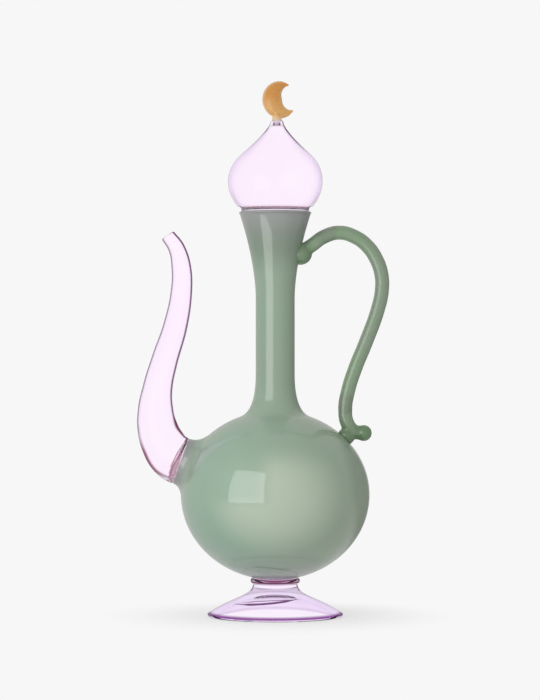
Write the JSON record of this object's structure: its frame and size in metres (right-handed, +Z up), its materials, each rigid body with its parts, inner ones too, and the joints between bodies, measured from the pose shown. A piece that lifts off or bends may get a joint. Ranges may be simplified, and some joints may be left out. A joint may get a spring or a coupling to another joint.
{
  "type": "glass jug",
  "caption": "Tall footed glass jug with a round bulb, a long flared neck, an S-curved spout, a looped handle and a lift-off onion-dome stopper with a crescent finial.",
  "frame": {"origin": "on the surface that the jug stands on, under the middle of the whole jug from spout to handle; the axis of the bulb, neck and stopper stands 7.95 mm towards +X of it", "axes": "+Z up along the neck, +X towards the handle, -X towards the spout, +Y away from the viewer of the picture"},
  "size_m": [0.1666, 0.1246, 0.3532],
  "materials": {
    "green_opal_glass": "milky translucent green glass, fire polished",
    "green_rod_glass": "deeper translucent green glass rod, fire polished",
    "pink_clear_glass": "clear glass with a pale pink-lilac tint, fire polished",
    "orange_opal_glass": "milky amber-orange glass, fire polished"
  },
  "bodies": {
    "vessel": {"body": "green_opal_glass", "spout": "pink_clear_glass", "handle": "green_rod_glass", "foot": "pink_clear_glass", "foot_collar": "pink_clear_glass"},
    "stopper": {"stopper": "pink_clear_glass", "moon_finial": "orange_opal_glass"}
  },
  "joints": [
    {"name": "stopper_lift", "type": "slide", "parent": "vessel", "child": "stopper", "axis": [0, 0, 1], "range_m": [0, 0.05]}
  ]
}
